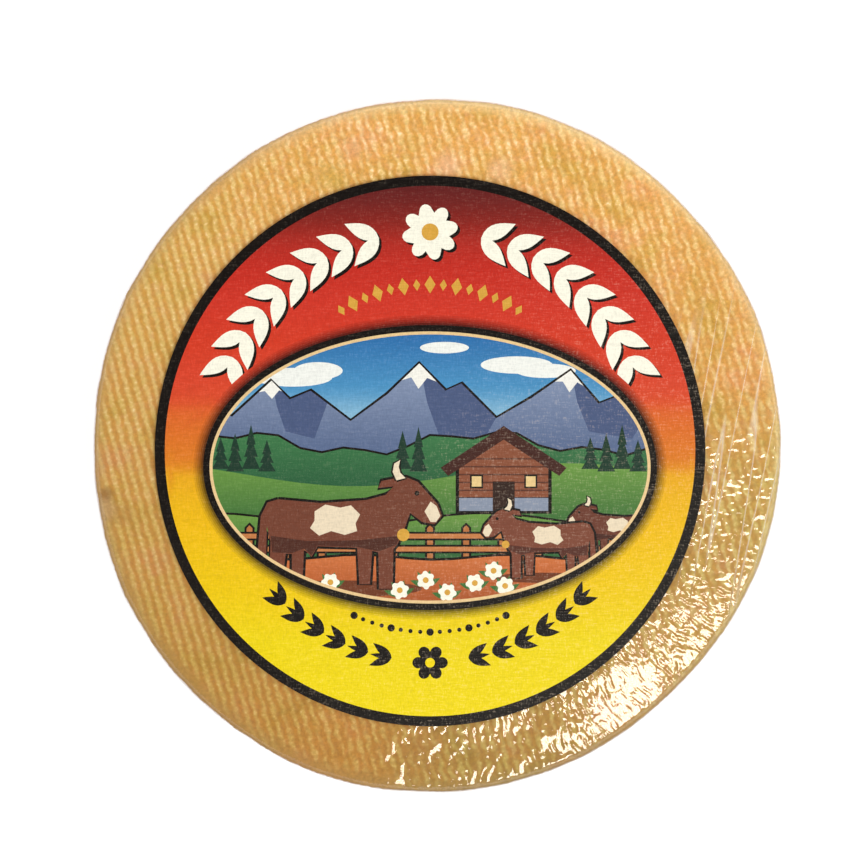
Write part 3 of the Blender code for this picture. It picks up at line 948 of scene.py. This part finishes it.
# Oval view of an alpine pasture, with a soft shadow round its black outline
def viewLayers():
    layers = []
    (cx, cy), (rx, ry), grown = view["middle"], view["half"], view["grown"]
    ground = rampColour(label["ramp"])
    steps, widest, less = view["shadow"]
    for i in range(steps):
        grow = widest - less * i
        keep = 1 - (i + 1) / (steps + 1)

        def shaded(x, y, keep=keep):
            return tuple(v * keep for v in ground(x, y))
        layers.append(layer(oval(cx, cy, rx + grow, ry + grow, 96), shaded))
    for grow, colour in zip(view["frame"], (label["black"], view["rim"], rampColour(view["sky"]))):
        opening = oval(cx, cy, rx + grow, ry + grow, 140)
        layers.append(layer(opening, colour))

    def paint(points, colour):
        def grownColour(x, y):
            return colour((x - cx) / grown, (y - cy) / grown)
        spots = [(x * grown + cx, y * grown + cy) for x, y in points]
        layers.append(layer(spots, colour if isinstance(colour, str) else grownColour, opening))

    def land(line, stops, outline=view["outline"]):
        paint(line + [(view["edge"], view["foot"]), (-view["edge"], view["foot"])], rampColour(stops))
        if outline:
            paint(stroke(line, outline), label["black"])

    for cloud in ((-19, 12.5, 5.5, 1.3), (-15.5, 13.4, 3.4, 1.2), (12, 14.2, 5.0, 1.2), (16, 13.4, 4.2, 1.0),
                  (2, 16.6, 3.4, 0.8)):
        paint(oval(*cloud, 28), view["cloud"])
    # Mountains with shaded flanks and snow
    peaks = [
        (-36, 4), (-30, 8.5), (-27.5, 7.2), (-22, 12.2), (-19.4, 9.6), (-16.5, 10.8), (-11, 6.6), (-6, 10.3),
        (-1.5, 14.6), (2.2, 10.8), (4.4, 11.8), (9.2, 7.0), (14, 9.8), (19.5, 13.6), (23.4, 9.0), (26, 10.0),
        (36, 3),
    ]
    land(peaks, ((14.0, "#8796b4"), (3.0, "#5b6c90"), (-20.0, "#5b6c90")), None)
    for flank in (
        [(-22, 12.2), (-19.4, 9.6), (-16.5, 10.8), (-14.2, 9.0), (-16, 4), (-20, 5), (-21.2, 8.4)],
        [(-1.5, 14.6), (2.2, 10.8), (4.4, 11.8), (9.2, 7.0), (7, 3), (1.4, 4), (-0.4, 9)],
        [(19.5, 13.6), (23.4, 9.0), (26, 10.0), (30, 7.2), (28, 4), (22, 5), (20.4, 9)],
    ):
        paint(flank, "#4b5a80")
    for snow in (
        [(-22, 12.2), (-24.2, 10.3), (-22.9, 10.6), (-21.9, 9.5), (-20.9, 10.7), (-20.2, 10.4)],
        [(-1.5, 14.6), (-4.2, 12.0), (-2.6, 12.5), (-1.6, 10.9), (-0.4, 12.4), (0.9, 11.9)],
        [(19.5, 13.6), (16.9, 11.9), (18.4, 11.9), (19.3, 10.4), (20.4, 11.8), (21.6, 11.1)],
    ):
        paint(snow, view["snow"])
    paint(stroke(peaks, 0.35), label["black"])
    # Far and middle hill, with firs
    land(skyline(lambda i: 3.4 + 1.3 * math.sin(0.55 * i) + 0.7 * math.sin(1.7 * i)),
         ((5.0, "#3f7a4a"), (-4.0, "#255638"), (-20.0, "#255638")))
    land(skyline(lambda i: -1.0 + 1.6 * math.sin(0.32 * i + 2.0)),
         ((1.0, "#6f9a45"), (-7.0, "#3f7038"), (-20.0, "#3f7038")), None)
    for i, x in enumerate((-29.0, -27.0, -24.8, -22.6, -3.8, -1.6, 22.2, 24.4, 26.6, 28.8)):
        tall = 4.4 + 0.9 * (i % 3)
        foot = -0.2 - 0.35 * (i % 2)
        for k in range(3):
            low, wide = foot + tall * 0.27 * k, 1.25 - 0.3 * k
            paint([(x - wide, low), (x + wide, low), (x, low + tall * 0.46)], view["fir"])

    # Timber barn with a stone foot, drawn round (0, 0)
    def barn(points, tone):
        paint([(x * 0.95 + 10.2, y * 0.95 - 0.6) for x, y in points], tone)

    barn([(-7, -6.1), (7, -6.1), (7, 1.9), (0, 6.1), (-7, 1.9)], label["black"])
    barn([(-6.5, -3.7), (6.5, -3.7), (6.5, 1.6), (0, 5.5), (-6.5, 1.6)], "#8a5038")
    barn([(-6.5, -5.7), (6.5, -5.7), (6.5, -3.8), (-6.5, -3.8)], "#8a94a8")
    for i in range(5):
        barn(stroke([(-6.5, -2.7 + 1.15 * i), (6.5, -2.7 + 1.15 * i)], 0.22), "#5d3529")
    barn([(-9.2, 0.6), (0, 6.7), (9.2, 0.6), (8.1, -0.6), (0, 4.7), (-8.1, -0.6)], "#43231d")
    barn([(-1.6, -5.7), (1.6, -5.7), (1.6, -1.4), (-1.6, -1.4)], "#33201a")
    for x in (-4.9, 3.0):
        for inset, tone in ((0.0, label["black"]), (0.25, "#e8c98c")):
            left, right, low, high = x + inset, x + 1.9 - inset, -2.4 + inset, -0.4 - inset
            barn([(left, low), (right, low), (right, high), (left, high)], tone)
    # Near meadow, fence and the earth track along the front
    land(skyline(lambda i: -7.2 + 0.9 * math.sin(0.5 * i + 0.6)),
         ((-6.0, "#6f9a44"), (-12.0, "#35673a"), (-22.0, "#35673a")))
    for x in range(-30, 33, 5):
        for half, shoulder, tip, tone in ((0.7, -8.3, -7.6, label["black"]), (0.4, -8.4, -8.0, "#b4703f")):
            left, right = x - half, x + half
            paint([(left, -13), (right, -13), (right, shoulder), (x, tip), (left, shoulder)], tone)
    for y in (-9.5, -11.3):
        for wide, tone in ((1.2, label["black"]), (0.66, "#c47c48")):
            paint(stroke([(-view["edge"], y), (view["edge"], y)], wide), tone)
    land(skyline(lambda i: -12.4 + 0.35 * math.sin(0.9 * i)),
         ((-12.0, "#cf7440"), (-16.0, "#b85f30"), (-22.0, "#8e4524")), 0.35)

    cow = [
        (-4.3, 2.0), (-1.5, 1.75), (1.5, 1.95), (2.8, 2.3), (3.3, 2.85), (2.3, 2.75), (2.5, 3.2), (3.5, 3.4),
        (4.15, 3.45), (4.9, 3.15), (6.2, 1.7), (6.5, 0.9), (6.0, 0.35), (5.2, 0.5),
        (4.4, 1.1), (4.05, 0.1), (3.6, -0.9), (3.3, -1.3),
        (3.25, -3.9), (2.35, -3.9), (2.3, -1.5), (1.9, -1.4), (1.75, -3.6), (1.05, -3.6), (0.9, -1.2),
        (-1.7, -1.1), (-2.1, -1.8), (-2.6, -1.3), (-2.7, -3.6), (-3.4, -3.6), (-3.4, -1.6), (-3.8, -1.6),
        (-4.1, -3.9), (-4.95, -3.9), (-4.8, -0.8), (-5.05, 0.2), (-5.1, -1.7), (-5.7, -1.9), (-5.45, 0.9),
        (-5.0, 1.8),
    ]
    belly = [
        (-4.8, -0.4), (-2.4, -0.75), (1.0, -0.7), (3.75, -0.4), (3.5, -1.0), (2.3, -1.45), (1.9, -1.35),
        (0.9, -1.15), (-1.7, -1.05), (-2.1, -1.7), (-2.6, -1.25), (-3.4, -1.55), (-3.8, -1.55), (-4.7, -1.5),
    ]
    patch = [
        (-1.9, 1.2), (-1.2, 1.65), (-0.2, 1.45), (0.5, 1.6), (1.1, 1.0), (0.8, 0.4), (0.9, -0.1),
        (0.1, -0.35), (-0.8, -0.1), (-1.6, -0.4), (-2.2, 0.1), (-1.9, 0.6),
    ]
    horn = [(3.5, 3.25), (3.25, 3.8), (3.35, 4.35), (3.75, 4.6), (3.65, 4.15), (3.75, 3.75), (4.1, 3.4)]
    muzzle = [(5.75, 0.5), (6.1, 0.5), (6.4, 0.9), (6.15, 1.55), (5.75, 1.85), (5.35, 1.2)]
    # Brown cows: middle, how many times the drawn size, which way it faces, coat and its shaded belly
    for x, y, times, way, coat, dark in (
        (25.5, -8.6, 1.0, -1, "#6b3a2c", "#4a261e"),
        (15.6, -10.2, 1.3, -1, "#7d4634", "#572e24"),
        (-12.0, -8.6, 2.1, 1, "#74402f", "#4f2a20"),
    ):
        paint(oval(x, y - 3.9 * times, 5.2 * times, 0.55 * times, 28), view["shade"])
        for points, tone in (
            (stroke(cow + cow[:1], 0.5 / times + 0.1), label["black"]),
            (cow, coat),
            (stroke(horn + horn[:1], 0.3 / times + 0.1), label["black"]),
            (horn, view["hide"]),
            (belly, dark),
            (patch, view["hide"]),
            (muzzle, view["hide"]),
            (circle(4.85, 2.4, 0.17, 8), label["black"]),
            (circle(3.95, -0.35, 0.42, 12), label["gold"]),
        ):
            paint([(x + way * u * times, y + v * times) for u, v in points], tone)
    # Meadow flowers in front of the track
    for i, (x, y) in enumerate(((-13.8, -15.9), (-4.2, -17.0), (-0.6, -15.6), (2.4, -17.3), (6.2, -16.0),
                                (8.8, -14.3), (10.4, -16.4))):
        for turn in (0.5, 1.3, 2.1, 2.8):
            paint(leaf(x, y - 0.8, turn, 2.3, 0.8), view["leaf"])
        paint(blossom(x, y, 1.3, 6, 0.3 * i, 30), label["cream"])
        paint(circle(x, y, 0.42, 10), label["gold"])
    return layers


def contains(points, x, y):
    inside = False
    ax, ay = points[-1]
    for bx, by in points:
        if (ay > y) != (by > y) and x < (bx - ax) * (y - ay) / (by - ay) + ax:
            inside = not inside
        ax, ay = bx, by
    return inside


def buildLabel():
    layers = upperLayers() + viewLayers() + lowerLayers()  # the last lies on top
    spots, edges = [], []
    for points, _, _ in layers:
        start = len(spots)
        spots += points
        edges += [(start + i, start + (i + 1) % len(points)) for i in range(len(points))]
    radius = labelRadius / mm
    reach = int(radius / label["gridStep"])
    right, up = label["gridStart"]
    for i in range(-reach, reach + 1):
        for j in range(-reach, reach + 1):
            x, y = (i + right) * label["gridStep"], (j + up) * label["gridStep"]
            if math.hypot(x, y) < radius - 0.4:
                spots.append((x, y))
    places, _, faces, _, _, _ = delaunay_2d_cdt([Vector(s) for s in spots], edges, [], 0, 1e-5)
    print("label: cut into", len(faces), "fields")
    boxes = [(min(x for x, _ in p), min(y for _, y in p), max(x for x, _ in p), max(y for _, y in p))
             for p, _, _ in layers]

    def colourOf(x, y):
        for (points, colour, within), (x0, y0, x1, y1) in zip(reversed(layers), reversed(boxes)):
            if x0 <= x <= x1 and y0 <= y <= y1 and contains(points, x, y):
                if within is None or contains(within, x, y):
                    return colour
        return None

    sheet = bmesh.new()
    for p in places:
        wave = label["waviness"] * math.sin(p.x / 9.0 + 0.6) * math.sin(p.y / 11.0)
        sheet.verts.new((labelMiddle[0] + p.x * mm, labelMiddle[1] + p.y * mm, label["top"] + wave))
    sheet.verts.ensure_lookup_table()
    tint = sheet.loops.layers.float_color.new("ink")
    for corners in faces:
        x = sum(places[i].x for i in corners) / len(corners)
        y = sum(places[i].y for i in corners) / len(corners)
        colour = colourOf(x, y)
        if colour is None:
            continue
        face = sheet.faces.new([sheet.verts[i] for i in corners])
        for loop, i in zip(face.loops, corners):
            loop[tint] = (*colour(places[i].x, places[i].y), 1.0)
    bmesh.ops.recalc_face_normals(sheet, faces=sheet.faces)
    if sum(face.normal.z for face in sheet.faces) < 0:
        bmesh.ops.reverse_faces(sheet, faces=sheet.faces)
    loose = [v for v in sheet.verts if not v.link_faces]
    bmesh.ops.delete(sheet, geom=loose, context="VERTS")
    # Cut edge and back of the paper
    rim = [e for e in sheet.edges if len(e.link_faces) == 1]
    grown = bmesh.ops.extrude_edge_only(sheet, edges=rim)["geom"]
    low = [g for g in grown if isinstance(g, bmesh.types.BMVert)]
    for vert in low:
        vert.co.z = label["top"] - label["thickness"]
    lowEdges = [g for g in grown if isinstance(g, bmesh.types.BMEdge)]
    bmesh.ops.edgeloop_fill(sheet, edges=lowEdges)
    bmesh.ops.recalc_face_normals(sheet, faces=sheet.faces)
    for face in sheet.faces:
        if face.normal.z < 0.5:
            for loop in face.loops:
                loop[tint] = ink(label["paper"])
    mesh = bpy.data.meshes.new("paperLabel")
    sheet.to_mesh(mesh)
    sheet.free()
    return newPiece("paperLabel", mesh, linenPaperMaterial())


# Semi-gloss offset-printed paper with a linen emboss of two crossing sets of fine threads
def linenPaperMaterial():
    material, tree = newMaterial("linenPaper")
    place = addNode(tree, "ShaderNodeTexCoord").outputs["Object"]
    inked = addNode(tree, "ShaderNodeAttribute", attribute_name="ink").outputs["Color"]
    threads = []
    for stretch in ((1.0, 0.3, 1.0), (0.15, 1.0, 1.0)):
        drawn = addNode(tree, "ShaderNodeVectorMath", {0: place, 1: stretch}, operation="MULTIPLY")
        thread = addNode(tree, "ShaderNodeTexNoise", {
            "Vector": drawn, "Scale": perMetre(label["thread"]), "Detail": 2.0, "Roughness": 0.7})
        threads.append(thread)
    weave = addNode(tree, "ShaderNodeMath", {0: threads[0], 1: threads[1]}, operation="ADD")
    bump = addNode(tree, "ShaderNodeBump", {
        "Height": weave, "Strength": 0.8, "Distance": label["threadDepth"]})
    # Ink lies thinner on the raised threads, and a little bare paper shows where two of them cross; towards
    # the side that faces the softbox more of this pale tone is put there as a painted glint
    worn = addNode(tree, "ShaderNodeMapRange", {
        "Value": weave, "From Min": 0.75, "From Max": 1.25, "To Min": 0.88, "To Max": 1.07})
    printed = addNode(tree, "ShaderNodeVectorMath", {0: inked, "Scale": worn}, operation="SCALE")
    crossed = addNode(tree, "ShaderNodeMapRange", {
        "Value": weave, "From Min": 1.08, "From Max": 1.3})
    lit = sideShare(tree, place, label["paintedLitSide"])
    paperAndPaintedGlint = addNode(tree, "ShaderNodeMapRange", {"Value": lit, "To Min": 0.05, "To Max": 0.24})
    crossed = addNode(tree, "ShaderNodeMath", {0: crossed, 1: paperAndPaintedGlint}, operation="MULTIPLY")
    printed = addNode(tree, "ShaderNodeMix", {
        "Factor": crossed, "A": printed, "B": ink(label["bareAndGlintTone"])}, data_type="RGBA")
    shader = addNode(tree, "ShaderNodeBsdfPrincipled", {
        "Base Color": printed, "Roughness": 0.28, "IOR": 1.3, "Normal": bump})
    addNode(tree, "ShaderNodeOutputMaterial", {"Surface": shader})
    return material


# Studio: pale floor that also glows, a ring of bright sky that is dim overhead, one softbox and a fill lamp
studio = {
    "cameraAbove": 1.2,
    "clipStart": 0.05,
    "softboxAway": 0.50,
    "softboxTilt": math.radians(20),
    "softboxTurn": math.radians(-50),
    "softboxWidth": 0.14,
    "softboxPower": 0.62,
    "softboxTone": "#fffdf1",
    "fillWidth": 0.3,
    "fillPower": 0.33,
    "fillTone": "#fffaf0",
    "skyOverhead": 0.13,
    "skyRing": 1.22,
    "skyHorizon": 0.3,
    "ringFrom": (math.cos(math.radians(28)), math.cos(math.radians(45))),
    "ringTo": (math.cos(math.radians(62)), math.cos(math.radians(85))),
    "floorTone": "#9e9e9c",
    "floorGlow": 0.82,
    "floorGlowAway": 0.3,
    "floorReach": (0.1, 0.3),
    "floorHalf": 3.0,
}


def buildStudio():
    scene = bpy.context.scene
    scene.view_settings.view_transform = "Standard"
    camera = bpy.data.objects.new("camera", bpy.data.cameras.new("camera"))
    scene.collection.objects.link(camera)
    x, y = fromPhoto(photo["side"] / 2, photo["side"] / 2)
    camera.location = (x, y, wheelHeight + studio["cameraAbove"])
    width = photo["side"] * photo["pixel"]
    camera.data.lens = camera.data.sensor_width * studio["cameraAbove"] / width
    camera.data.clip_start = studio["clipStart"]
    scene.camera = camera

    tilt, turn = studio["softboxTilt"], studio["softboxTurn"]
    way = Vector((math.sin(tilt) * math.cos(turn), math.sin(tilt) * math.sin(turn), math.cos(tilt)))
    for name in ("softbox", "fill"):
        lamp = bpy.data.lights.new(name, "AREA")
        lamp.shape = "DISK"
        lamp.size = studio[name + "Width"]
        lamp.energy = studio[name + "Power"]
        lamp.color = ink(studio[name + "Tone"])[:3]
        box = bpy.data.objects.new(name, lamp)
        scene.collection.objects.link(box)
        box.location = Vector((0, 0, wheelHeight)) + way * studio["softboxAway"]
        box.rotation_euler = way.to_track_quat("Z", "Y").to_euler()
        box.visible_camera = False
        box.visible_glossy = name == "softbox"  # the film mirrors the softbox alone

    world = bpy.data.worlds.new("studio")
    scene.world = world
    world.use_nodes = True
    tree = world.node_tree
    tree.nodes.clear()
    way = addNode(tree, "ShaderNodeTexCoord").outputs["Generated"]
    up = addNode(tree, "ShaderNodeSeparateXYZ", {"Vector": way}).outputs["Z"]
    rise = addNode(tree, "ShaderNodeMapRange", {
        "Value": up, "From Min": studio["ringFrom"][0], "From Max": studio["ringFrom"][1],
        "To Min": studio["skyOverhead"], "To Max": studio["skyRing"]}, interpolation_type="SMOOTHSTEP")
    fall = addNode(tree, "ShaderNodeMapRange", {
        "Value": up, "From Min": studio["ringTo"][0], "From Max": studio["ringTo"][1],
        "To Min": 0.0, "To Max": studio["skyRing"] - studio["skyHorizon"]}, interpolation_type="SMOOTHSTEP")
    glow = addNode(tree, "ShaderNodeMath", {0: rise, 1: fall}, operation="SUBTRACT")
    sky = addNode(tree, "ShaderNodeBackground", {"Color": ink("#ffffff"), "Strength": glow})
    addNode(tree, "ShaderNodeOutputWorld", {"Surface": sky})

    floorMaterial, tree = newMaterial("paleFloor")
    place = addNode(tree, "ShaderNodeTexCoord").outputs["Object"]
    away = addNode(tree, "ShaderNodeVectorMath", {0: place}, operation="LENGTH").outputs["Value"]
    glow = addNode(tree, "ShaderNodeMapRange", {
        "Value": away, "From Min": studio["floorReach"][0], "From Max": studio["floorReach"][1],
        "To Min": studio["floorGlow"], "To Max": studio["floorGlowAway"]}, interpolation_type="SMOOTHSTEP")
    shader = addNode(tree, "ShaderNodeBsdfPrincipled", {
        "Base Color": ink(studio["floorTone"]), "Roughness": 0.6,
        "Emission Color": ink("#ffffff"), "Emission Strength": glow})
    addNode(tree, "ShaderNodeOutputMaterial", {"Surface": shader})
    mesh = bpy.data.meshes.new("floor")
    half = studio["floorHalf"]
    corners = [(-half, -half, 0), (half, -half, 0), (half, half, 0), (-half, half, 0)]
    mesh.from_pydata(corners, [], [(0, 1, 2, 3)])
    floor = newPiece("floor", mesh, floorMaterial)
    print("studio: camera, two lamps, sky and floor")


buildStudio()
rindWheel = buildRind()
shrinkFilm = buildFilm()
paperLabel = buildLabel()

for piece in (rindWheel, shrinkFilm, paperLabel):
    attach(piece, "root")
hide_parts("wrapped_cheese")
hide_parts("label")
